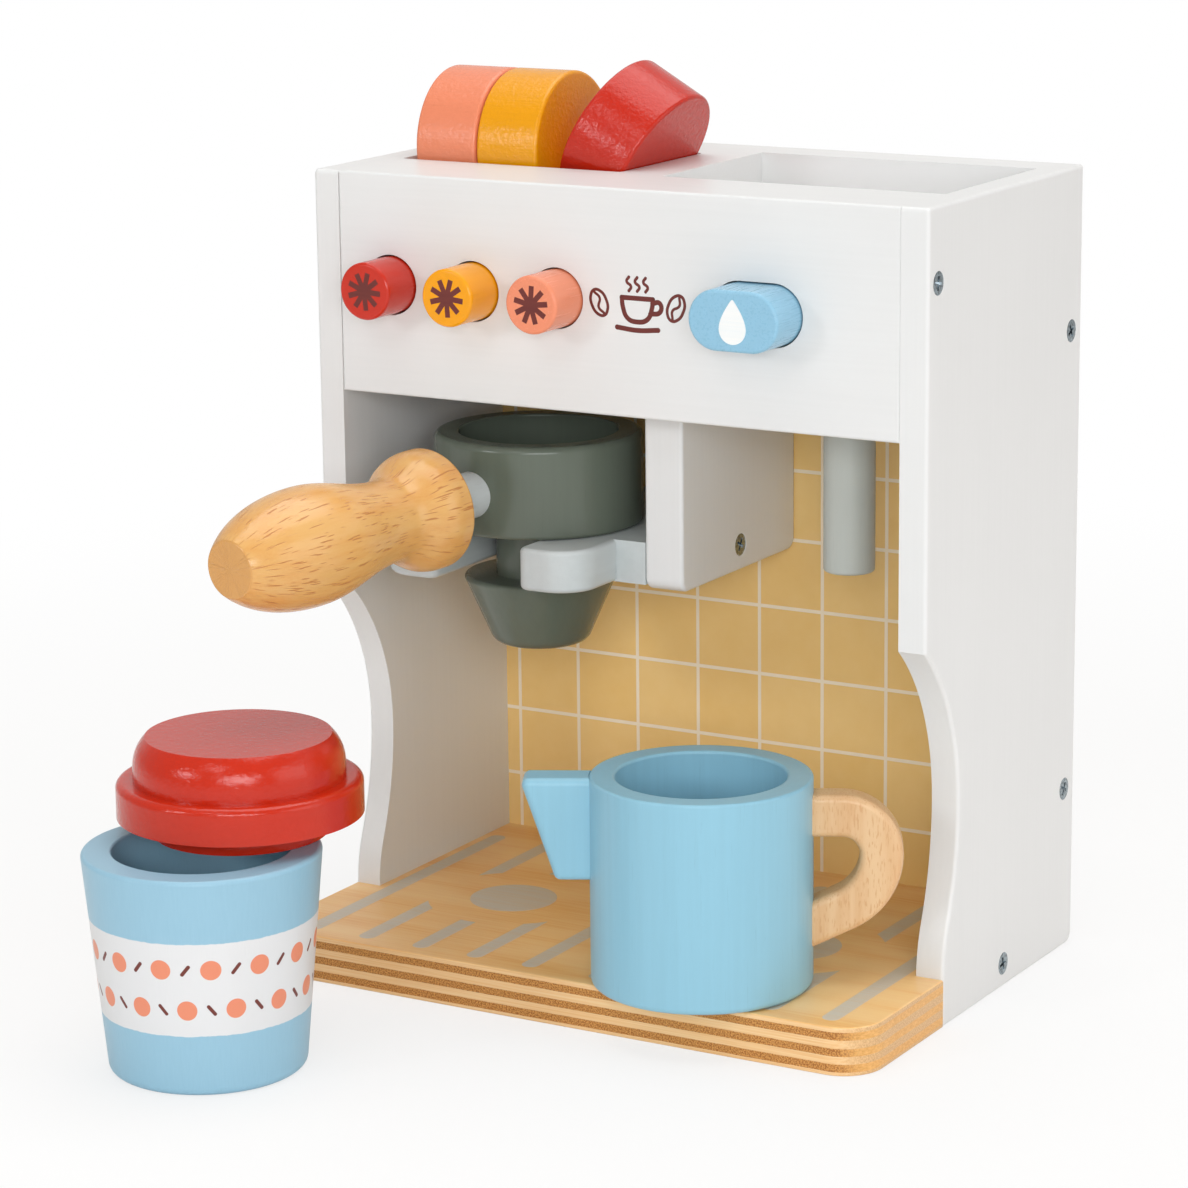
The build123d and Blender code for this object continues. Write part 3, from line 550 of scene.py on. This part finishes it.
# %% Metal
def plated_metal(name, hex_value, roughness):
    """Plating: metallic, cloudy at about a millimetre."""
    material, node = start(name)
    place = node("TexCoord", output="Object")
    clouds = node("TexNoise", place, named={"Scale": 1 / mm(0.9), "Detail": 3.0})
    bright = node("MapRange", clouds, 0.3, 0.7, interpolation_type="SMOOTHSTEP")
    metals = {6: linear(hex_value, 0.35), 7: linear(hex_value)}
    colour = node("Mix", bright, named=metals, output=2, data_type="RGBA")
    sheen = node("Math", clouds, 0.2, roughness - 0.1, operation="MULTIPLY_ADD")
    relief = node("Bump", named={"Strength": 0.4, "Distance": mm(0.02), "Height": clouds})
    surface = {"Base Color": colour, "Roughness": sheen, "Metallic": 1.0, "Normal": relief}
    node("OutputMaterial", node("BsdfPrincipled", named=surface))
    return material


zinc = plated_metal("zinc_plated_steel", "#A7B4BB", 0.24)
spring_steel = plated_metal("spring_steel", "#A9ADB0", 0.3)
print("made", zinc.name, "and", spring_steel.name)


# %% Ink
def printing_ink(name, hex_value, under, show):
    """Screen printed ink over wood fibres along X that show through a little."""
    material, node = start(name)
    place = node("TexCoord", output="Object")
    grain = node("Mapping", place, named={"Scale": fibre("X", 0.9, 30)}, vector_type="TEXTURE")
    fibres = node("TexNoise", grain, named={"Scale": 1.0, "Detail": 4.0})
    worn = node("MapRange", fibres, 0.35, 0.7, 0.0, show, interpolation_type="SMOOTHSTEP")
    layers = {6: linear(hex_value), 7: linear(under)}
    colour = node("Mix", worn, named=layers, output=2, data_type="RGBA")
    surface = {"Base Color": colour, "Roughness": 0.45, "IOR": 1.5}
    node("OutputMaterial", node("BsdfPrincipled", named=surface))
    return material


brown_ink = printing_ink("brown_ink", "#64201A", "#732A20", 0.5)
white_ink = printing_ink("white_ink", "#F2F3F1", "#E4ECEF", 0.4)
grey_ink = printing_ink("grey_ink", "#D2CABC", "#D6BE9A", 0.45)
print("made", len(bpy.data.materials), "materials")

# %% [markdown]
# ## Dress the boards and turned pieces
#
# The CAD pieces already have their true shapes, so they keep them and only change their
# material slots.

# %% Give each CAD piece its finish
finishes = {
    white_paint: ["left_side_panel", "right_side_panel", "group_partition", "button_guide_board"],
    white_paint_across: ["front_fascia", "top_deck", "deck_floor", "head_floor"],
    tile_board: ["back_panel"],
    plywood: ["base_board"],
    fork_paint: ["portafilter_fork", "handle_dowel"],
    spout_paint_with_painted_shade: ["water_spout"],
    red_paint: ["red_button"],
    yellow_paint: ["yellow_button"],
    coral_paint: ["coral_button"],
    blue_button_paint: ["water_button"],
    spring_steel: [name for name in nodes if name.endswith("_spring")],
    dipped["grey_green_paint"]: ["portafilter_bowl", "portafilter_cone"],
    rubberwood: ["portafilter_handle"],
    jug_paint: ["jug_body", "jug_spout"],
    beech: ["jug_handle"],
    cup_paint: ["cup"],
    dipped["red_lid_paint"]: ["cup_lid"],
    dipped["coral_pod_paint"]: ["coral_pod"],
    dipped["yellow_pod_paint"]: ["yellow_pod"],
    dipped["red_pod_paint"]: ["red_pod"],
    zinc: ["side_screws", "fork_screws", "back_screws"],
}
for finish, names in finishes.items():
    for name in names:
        board = nodes[name]
        board.data.materials.clear()
        board.data.materials.append(finish)
print("dressed", sum(len(names) for names in finishes.values()), "of", len(nodes))

# %% [markdown]
# ## Selecting and finishing
#
# Edit-mode operators act on everything that is selected, so each piece starts from an empty
# selection, and its faces or edges are then picked by where they are. A finished piece
# keeps its place in its mesh: its object sits at the origin, without turn or scale.


# %% Selection
def deselect():
    """Leave edit mode and select nothing."""
    if bpy.context.object and bpy.context.object.mode != "OBJECT":
        bpy.ops.object.mode_set(mode="OBJECT")
    bpy.ops.object.select_all(action="DESELECT")


def make_active(*objects):
    """Select these objects, with the first one active."""
    deselect()
    for thing in objects:
        thing.select_set(True)
    bpy.context.view_layer.objects.active = objects[0]


def edit(thing):
    """Open a piece in edit mode with nothing selected."""
    make_active(thing)
    bpy.ops.object.mode_set(mode="EDIT")
    bpy.ops.mesh.select_all(action="DESELECT")


def pick(thing, kind, test):
    """In edit mode, select the vertices, edges or faces that pass the test, and nothing else."""
    bpy.ops.mesh.select_mode(type=kind)
    bpy.ops.mesh.select_all(action="DESELECT")
    shape = bmesh.from_edit_mesh(thing.data)
    for item in {"VERT": shape.verts, "EDGE": shape.edges, "FACE": shape.faces}[kind]:
        if test(item):
            item.select_set(True)
    shape.select_flush_mode()
    bmesh.update_edit_mesh(thing.data)


def settle(thing):
    """Put the piece's place and turn into its mesh, so that its object sits at the origin."""
    make_active(thing)
    bpy.ops.object.transform_apply(location=True, rotation=True, scale=True)


print("ready to model in", bpy.context.mode)

# %% [markdown]
# ## Screw heads
#
# Each screw is a countersunk cross-head, driven flush. A cone primitive gives the head, the
# shank is extruded from its small end and pointed, and the recess is cut by a cross of two
# tapered blades, as a driver would press it. The rim gets a tiny bevel that catches the light.


# %% A blade to cut with
def apply_modifier(thing, kind, **settings):
    """Add a modifier and apply it at once."""
    make_active(thing)
    modifier = thing.modifiers.new(kind.title(), kind)
    for name, value in settings.items():
        setattr(modifier, name, value)
    bpy.ops.object.modifier_apply(modifier=modifier.name)


def driver_blade(turn):
    """A blade 1.7 mm deep that narrows downwards, for cutting half of a cross recess."""
    length, width, depth, overshoot = mm(4.5, 0.95, 1.7, 0.5)
    narrowing = 0.45
    deselect()
    bpy.ops.mesh.primitive_cube_add(size=1, location=(0, 0, -depth / 2))
    blade = bpy.context.object
    blade.scale = (length, width, depth)
    blade.rotation_euler = (0, 0, turn)
    settle(blade)
    edit(blade)
    pick(blade, "FACE", lambda face: face.normal.z < -0.9)
    bpy.ops.transform.resize(value=(narrowing, narrowing, 1))
    pick(blade, "FACE", lambda face: face.normal.z > 0.9)
    bpy.ops.mesh.extrude_region_move(TRANSFORM_OT_translate={"value": (0, 0, overshoot)})
    deselect()
    return blade


blades = [driver_blade(turn) for turn in (0, math.pi / 2)]
print("blades", [tuple(round(v, 4) for v in blade.dimensions) for blade in blades])


# %% One screw
def cross_head_screw():
    """A countersunk screw at the origin, head up, with its face just below z = 0."""
    head, shank, depth, sunk, straight, point = mm(3.65, 1.6, 2.1, 0.12, 23.9, 3)
    tip_share, rim_bevel, near_face = 0.15, *mm(0.18, 0.2)
    deselect()
    bpy.ops.mesh.primitive_cone_add(
        vertices=48, radius1=shank, radius2=head, depth=depth, location=(0, 0, -depth / 2 - sunk)
    )
    screw = bpy.context.object
    settle(screw)
    edit(screw)
    pick(screw, "FACE", lambda face: face.normal.z < -0.9)
    bpy.ops.mesh.extrude_region_move(TRANSFORM_OT_translate={"value": (0, 0, -straight)})
    bpy.ops.mesh.extrude_region_move(TRANSFORM_OT_translate={"value": (0, 0, -point)})
    bpy.ops.transform.resize(value=(tip_share, tip_share, 1))
    pick(screw, "EDGE", lambda edge: min(v.co.z for v in edge.verts) > -near_face)
    bpy.ops.mesh.bevel(offset=rim_bevel, segments=3, affect="EDGES")
    deselect()
    return screw


master_screw = cross_head_screw()
for blade in blades:
    apply_modifier(master_screw, "BOOLEAN", object=blade, operation="DIFFERENCE", solver="EXACT")
    bpy.data.objects.remove(blade)
make_active(master_screw)
bpy.ops.object.shade_smooth_by_angle(angle=math.radians(32))
print("screw has", len(master_screw.data.polygons), "faces")

# %% [markdown]
# One screw is modelled, and the others are copies with their own mesh, each turned as
# far as its driver happened to leave it. A set of screws that the model counts as one node
# is joined, and stands in for the plain screws of that node.

# %% Places of the screws
half_width, partition_face, back_face = mm(105.5, 13.3, 75)
side_spots = [mm(-28.5, 227.6), mm(67.5, 199.4), mm(67.5, 52.4), mm(22.5, 7.5)]
fork_spot = mm(23, 131.15)
back_spots = [mm(-74.5, 185.5), mm(74.5, 185.5), mm(-74.5, 226), mm(74.5, 226), mm(6.65, 149.6)]
quarter = math.pi / 2
outwards = {"left": (0, -quarter, 0), "right": (0, quarter, 0), "back": (-quarter, 0, 0)}
left_screws = [((-half_width, y, z), "left") for y, z in side_spots]
right_screws = [((half_width, y, z), "right") for y, z in side_spots]
screw_sets = {
    "side_screws": left_screws + right_screws,
    "fork_screws": [((-half_width, *fork_spot), "left"), ((partition_face, *fork_spot), "right")],
    "back_screws": [((x, back_face, z), "back") for x, z in back_spots],
}
print("screws to drive", {name: len(places) for name, places in screw_sets.items()})


# %% Drive them
def copy_of(thing, name):
    """A copy with its own mesh."""
    twin = thing.copy()
    twin.data = thing.data.copy()
    twin.name = name
    bpy.context.scene.collection.objects.link(twin)
    return twin


def join(name, pieces):
    """Join pieces into one object of that name."""
    make_active(*pieces)
    bpy.ops.object.join()
    joined = bpy.context.object
    joined.name = name
    return joined


first_turn, turn_step = 23, 37
for node_name, places in screw_sets.items():
    copies = []
    for count, (place, facing) in enumerate(places):
        screw = copy_of(master_screw, f"{node_name}_{count}")
        screw.rotation_euler = (0, 0, math.radians(first_turn + turn_step * count))
        settle(screw)
        screw.rotation_euler = outwards[facing]
        screw.location = place
        settle(screw)
        copies.append(screw)
    group = join(f"cross_head_{node_name}", copies)
    group.data.materials.clear()
    group.data.materials.append(zinc)
    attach(group, "cabinet")
    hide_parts(node_name)
    print(group.name, len(places), "screws")
bpy.data.objects.remove(master_screw)

# %% [markdown]
# ## Printed stars on the round buttons
#
# Each round button has a star of nine flat-ended strokes in brown ink. A nine-sided
# disc gives the middle: every side of it is as wide as a stroke, so each stroke is that side
# extruded outwards. Ink is thin, but a real thickness of 0.06 mm keeps its edge crisp.


# %% Prints that face the front
def clean(thing):
    """Merge doubled vertices and turn every face outwards."""
    edit(thing)
    bpy.ops.mesh.select_all(action="SELECT")
    bpy.ops.mesh.remove_doubles(threshold=mm(0.002))
    bpy.ops.mesh.normals_make_consistent(inside=False)
    deselect()


def print_in_front(thing, turn, centre, ink):
    """Thicken a flat print, turn it in its plane, stand it up to face the front and ink it."""
    apply_modifier(thing, "SOLIDIFY", thickness=mm(0.06), offset=0.0)
    clean(thing)
    thing.rotation_euler = (0, 0, turn)
    settle(thing)
    thing.rotation_euler = (math.pi / 2, 0, 0)
    thing.location = centre
    settle(thing)
    thing.data.materials.append(ink)


button_face, button_height = mm(-50, 215.5)
print("button faces stand at y =", button_face)


# %% Stars
def middle_of(edge):
    """The point halfway along an edge."""
    return (edge.verts[0].co + edge.verts[1].co) / 2


def printed_star(name, centre, turn):
    """Nine strokes round a nine-sided middle, facing the front."""
    strokes, stroke_width, reach = 9, mm(1.7), mm(5.85)
    corner = stroke_width / (2 * math.sin(math.pi / strokes))
    flat = corner * math.cos(math.pi / strokes)
    deselect()
    bpy.ops.mesh.primitive_circle_add(vertices=strokes, radius=corner, fill_type="NGON")
    star = bpy.context.object
    star.name = name
    edit(star)
    sides = [middle_of(edge) for edge in bmesh.from_edit_mesh(star.data).edges]
    for side in sides:
        pick(star, "EDGE", lambda edge: (middle_of(edge) - side).length < mm(0.01))
        outward = side.normalized() * (reach - flat)
        bpy.ops.mesh.extrude_edges_move(TRANSFORM_OT_translate={"value": outward})
    deselect()
    first_side = min(math.atan2(side.y, side.x) for side in sides if side.x > 0 and side.y >= 0)
    print_in_front(star, turn - first_side, centre, brown_ink)
    return star


stars = {
    "red_button": (-77.95, -4.2),
    "yellow_button": (-48.25, -6.0),
    "coral_button": (-18.55, 6.3),
}
for button, (x, turn) in stars.items():
    star = printed_star(f"{button}_star", (mm(x), button_face, button_height), math.radians(turn))
    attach(star, button)
    print(star.name, len(star.data.polygons), "faces")

# %% [markdown]
# ## The drop on the water button
#
# The white drop starts as a disc. Its lower half stays round. Each row of vertices in the
# upper half is moved up and pressed together, more and more towards the top, which draws
# the disc out to a point.


# %% Drop
def printed_drop(name, centre, radius, height):
    """A drop with a round foot and a pointed top, facing the front."""
    stretch, pinch, sharpness = 1.15, 0.62, 2.2
    deselect()
    bpy.ops.mesh.primitive_circle_add(vertices=48, radius=radius, fill_type="NGON")
    drop = bpy.context.object
    drop.name = name
    edit(drop)
    rows = sorted({round(vertex.co.y, 7) for vertex in bmesh.from_edit_mesh(drop.data).verts})
    for row in reversed([row for row in rows if row > mm(0.001)]):
        share = row / radius
        pick(drop, "VERT", lambda vertex: abs(vertex.co.y - row) < mm(0.002))
        bpy.ops.transform.translate(value=(0, share**stretch * (height - radius) - row, 0))
        bpy.ops.transform.resize(value=(1 - pinch * share**sharpness, 1, 1))
    deselect()
    print_in_front(drop, 0, centre, white_ink)
    return drop


drop = printed_drop("water_button_drop", (mm(49.7), button_face, mm(213.2)), *mm(4.45, 13.2))
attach(drop, "water_button")
print(drop.name, len(drop.data.polygons), "faces")

# %% [markdown]
# ## A pictogram on the fascia
#
# Between the buttons the fascia has a small brown print: a cup on its saucer with
# steam, and a bean on each side. Each stroke is a curve with a round section, turned to a mesh
# and pressed almost flat, which leaves ink with soft edges and round ends.


# %% A stroke of ink
def ink_stroke(points, width, closed=False):
    """A stroke through (x, z) points in millimetres, with round ends."""
    curve = bpy.data.curves.new("stroke", "CURVE")
    curve.dimensions = "3D"
    curve.resolution_u = 8
    curve.bevel_depth = mm(width) / 2
    curve.bevel_resolution = 3
    curve.use_fill_caps = True
    spline = curve.splines.new("BEZIER")
    spline.bezier_points.add(len(points) - 1)
    spline.use_cyclic_u = closed
    for point, (x, z) in zip(spline.bezier_points, points):
        point.co = mm(x, 0, z)
        point.handle_left_type = point.handle_right_type = "AUTO"
    line = bpy.data.objects.new("stroke", curve)
    bpy.context.scene.collection.objects.link(line)
    make_active(line)
    bpy.ops.object.convert(target="MESH")
    parts = [bpy.context.object]
    if closed:
        return parts[0]
    for x, z in (points[0], points[-1]):
        deselect()
        ball = {"segments": 16, "ring_count": 8, "radius": mm(width) / 2}
        bpy.ops.mesh.primitive_uv_sphere_add(location=mm(x, 0, z), **ball)
        parts.append(bpy.context.object)
        settle(parts[-1])
    return join("stroke", parts)


def turned(points, lean, middle_x):
    """Turn (x, z) points by an angle and move them along x."""
    c, s = math.cos(lean), math.sin(lean)
    return [(middle_x + x * c - z * s, x * s + z * c) for x, z in points]


print("a quarter turn takes (1, 0) to", turned([(1, 0)], math.pi / 2, 0))

# %% Cup, saucer, steam and beans
bowl = [(-5, 2.0), (-4.7, -0.6), (-3.2, -3.8), (0, -4.7), (3.2, -3.8), (4.7, -0.6), (5, 2.0)]
strokes = [
    ink_stroke(bowl, 1.5),
    ink_stroke([bowl[0], bowl[-1]], 1.5),
    ink_stroke([(4.9, 0.9), (7.2, 1.1), (7.4, -1.3), (4.2, -2.2)], 1.5),
    ink_stroke([(-6.6, -6.6), (0, -7.1), (6.6, -6.6)], 1.5),
]
for x in (-2.7, 0, 2.7):
    strokes.append(ink_stroke([(x, 4.0), (x + 0.7, 5.2), (x - 0.7, 6.7), (x, 7.9)], 0.95))
angles = [math.radians(degrees) for degrees in range(0, 360, 45)]
bean = [(2.5 * math.cos(angle), 3.9 * math.sin(angle)) for angle in angles]
slit = [(-0.2, 3.2), (0.7, 1.2), (-0.7, -1.2), (0.2, -3.2)]
for side in (-1, 1):
    lean, middle_x = side * math.radians(-24), side * 12.4
    strokes.append(ink_stroke(turned(bean, lean, middle_x), 0.95, closed=True))
    strokes.append(ink_stroke(turned(slit, lean, middle_x), 0.85))
sign = join("fascia_cup_sign", strokes)
enlarged, flattened, fascia_face = 1.06, 0.045, -35
sign.scale = (enlarged, flattened, enlarged)
settle(sign)
sign.location = mm(9.6, fascia_face, 215.3)
settle(sign)
bpy.ops.object.shade_smooth()
sign.data.materials.clear()
sign.data.materials.append(brown_ink)
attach(sign, "cabinet")
print(sign.name, len(sign.data.polygons), "faces")

# %% [markdown]
# ## The printed drip tray
#
# The top of the base has a drip tray in thin grey ink: long bars from front to
# back, and a disc under each group with a clear ring round it that cuts the bars short. Each
# bar is a block with its upright corners bevelled round, a cylinder cuts the ring away, and
# the whole is then pressed down to the thickness of ink.


# %% Bars and discs
block_height = mm(2)


def tray_bar(x, half_length, half_width, centre_y):
    """A bar with round ends, much higher than ink for now."""
    deselect()
    bpy.ops.mesh.primitive_cube_add(size=1, location=(x, centre_y, 0))
    bar = bpy.context.object
    bar.scale = (2 * half_width, 2 * half_length, block_height)
    settle(bar)
    edit(bar)
    pick(bar, "EDGE", lambda edge: abs(edge.verts[0].co.z - edge.verts[1].co.z) > block_height / 2)
    bpy.ops.mesh.bevel(offset=half_width * 0.98, segments=8, affect="EDGES")
    deselect()
    return bar


def cylinder(x, y, radius, height):
    """A plain disc with its place in its mesh."""
    deselect()
    bpy.ops.mesh.primitive_cylinder_add(
        vertices=96, radius=radius, depth=height, location=(x, y, 0)
    )
    disc = bpy.context.object
    settle(disc)
    return disc


centre_y, half_length, half_width = mm(-12, 57.5, 2.75)
disc_x, disc_radius, ring_radius = mm(51.2, 14, 27.5)
bar_places = [side * x for side in (-1, 1) for x in mm(11.8, 31.6, 51.4, 71.2, 91)]
bars = [tray_bar(x, half_length, half_width, centre_y) for x in bar_places]
discs = [cylinder(side * disc_x, centre_y, disc_radius, block_height) for side in (-1, 1)]
print("made", len(bars), "bars and", len(discs), "discs")

# %% Tray print
tray = join("drip_tray_print", bars)
for side in (-1, 1):
    cutter = cylinder(side * disc_x, centre_y, ring_radius, 3 * block_height)
    apply_modifier(tray, "BOOLEAN", object=cutter, operation="DIFFERENCE", solver="EXACT")
    bpy.data.objects.remove(cutter)
tray = join("drip_tray_print", [tray] + discs)
ink_thickness, board_top = mm(0.06, 15)
tray.scale = (1, 1, ink_thickness / block_height)
settle(tray)
tray.location = (0, 0, board_top)
settle(tray)
clean(tray)
tray.data.materials.clear()
tray.data.materials.append(grey_ink)
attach(tray, "cabinet")
print(tray.name, len(tray.data.polygons), "faces")

# %% [markdown]
# ## Floor
#
# The toy stands on white studio paper: a seamless pale floor that runs out of sight. The eye
# sees a large share of plain white in it and reflections a small one; the rest is paper that
# takes the soft shadow under the toy. The share grows away from the toy, until all is white.

# %% Floor
floor_glow, floor_in_mirrors = 0.72, 0.25
deselect()
bpy.ops.mesh.primitive_plane_add(size=12, location=(0, 0, 0))
floor = bpy.context.object
floor.name = "studio_floor"
floor_paper, node = start("seamless_paper")
rays = node("LightPath").node.outputs
mirrored = node("Math", rays["Is Glossy Ray"], floor_in_mirrors, operation="MULTIPLY")
by_eye = node("Math", rays["Is Camera Ray"], mirrored, operation="MAXIMUM")
from_toy = node("VectorMath", node("TexCoord", output="Object"), operation="LENGTH", output=1)
growth = (0.2, 0.75, floor_glow, 1.0)
white_share = node("MapRange", from_toy, *growth, interpolation_type="SMOOTHSTEP")
share = node("Math", by_eye, white_share, operation="MULTIPLY")
paper = node("BsdfPrincipled", named={"Base Color": linear("#F4F3F1"), "Roughness": 0.8})
node("OutputMaterial", node("MixShader", share, paper, node("Emission", (1, 1, 1, 1), 1.0)))
floor.data.materials.append(floor_paper)
print("floor", tuple(floor.dimensions))

# %% [markdown]
# ## Light
#
# The main soft lamp stands at the front right, low enough to look into the open bay. Smaller
# ones at the left and high up put crisp highlights on the glossy paint, and the side and the
# top have their own. The front lamps are a little cool and the room's light is a little warm,
# so lit faces stay neutral and the shadows between the boards come out warm.


# %% Lamps
def soft_lamp(name, place, aim, size, power, colour=(1, 1, 1)):
    """A rectangular area lamp that faces its aim."""
    lamp = bpy.data.lights.new(name, "AREA")
    lamp.shape = "RECTANGLE"
    lamp.size, lamp.size_y = size
    lamp.energy = power
    lamp.color = colour
    holder = bpy.data.objects.new(name, lamp)
    bpy.context.scene.collection.objects.link(holder)
    holder.location = place
    holder.rotation_euler = (Vector(aim) - Vector(place)).to_track_quat("-Z", "Y").to_euler()
    print(name, power, "W")


cool = (0.94, 0.97, 1)
soft_lamp("front_left_softbox", (-0.8, -1.6, 0.7), (0, 0, 0.12), (0.35, 0.35), 4.3, cool)
soft_lamp("front_high_softbox", (0.0, -1.3, 1.2), (0, 0, 0.1), (0.35, 0.35), 1.6, cool)
soft_lamp("front_right_softbox", (0.88, -1.52, 0.57), (0, 0, 0.08), (1.1, 0.5), 12.4, cool)
rosy = (1, 0.965, 0.975)
soft_lamp("side_softbox", (1.6, 0.0, 0.6), (0, 0, 0.12), (1.2, 1.0), 5.3, rosy)
soft_lamp("top_softbox", (0.0, 0.2, 1.5), (0, 0, 0.2), (1.4, 1.4), 14.5)

# %% [markdown]
# The camera sees plain white all round. Reflections see a bright paper sweep behind the toy
# and a dim studio in front, which gives the top faces a pale sheen and keeps painted colours
# full.

# %% Room
room_light, sweep_in_mirrors, studio_in_mirrors = 0.34, 0.55, 0.15
warm_white = (1, 0.965, 0.915, 1)
room = bpy.data.worlds.new("bright_room")
bpy.context.scene.world = room
room.use_nodes = True
room.node_tree.nodes.clear()
node = functools.partial(add, room.node_tree)
rays = node("LightPath").node.outputs
backwards = node("SeparateXYZ", node("TexCoord", output="Generated")).node.outputs["Y"]
sweep = (0.0, 0.7, studio_in_mirrors, sweep_in_mirrors)
sweep_share = node("MapRange", backwards, *sweep, interpolation_type="SMOOTHSTEP")
mirrored = node("Math", rays["Is Glossy Ray"], sweep_share, operation="MULTIPLY")
seen = node("Math", rays["Is Camera Ray"], mirrored, operation="MAXIMUM")
lit = node("Background", warm_white, room_light)
node("OutputWorld", node("MixShader", seen, lit, node("Background", (1, 1, 1, 1), 1.0)))
print("room light", room_light)
